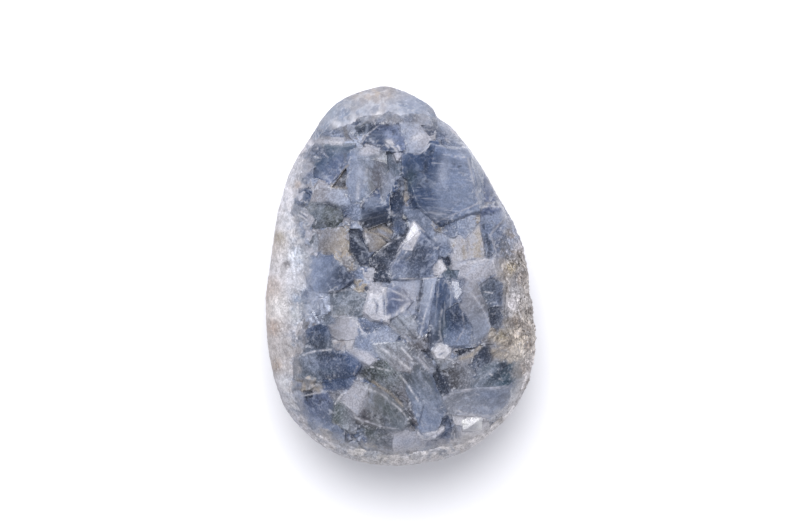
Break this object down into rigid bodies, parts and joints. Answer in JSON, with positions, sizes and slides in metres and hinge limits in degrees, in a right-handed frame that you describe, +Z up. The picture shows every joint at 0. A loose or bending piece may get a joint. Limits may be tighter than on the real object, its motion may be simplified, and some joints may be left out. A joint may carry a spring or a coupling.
{
  "type": "celestite cluster",
  "caption": "Egg-shaped block of pale rock whose front is a crust of grown-together blue celestite crystals, resting on a small flat spot on its back.",
  "frame": {"origin": "middle of the bounding box, on the plane of the flat spot that the stone rests on", "axes": "+Y along the egg towards its narrow end, +Z up out of the crystal front, +X towards the right side seen from the front with the narrow end up"},
  "size_m": [0.0779, 0.11, 0.0561],
  "materials": {
    "matrix_rock": "ground pale rock, dry and dull, with fine grain, small pits and cracks",
    "celestite": "cloudy grey-blue crystal, glossy on flat faces and white along bruised edges"
  },
  "bodies": {
    "root": {"matrix": "matrix_rock", "crystal_crust": "celestite"}
  },
  "joints": []
}
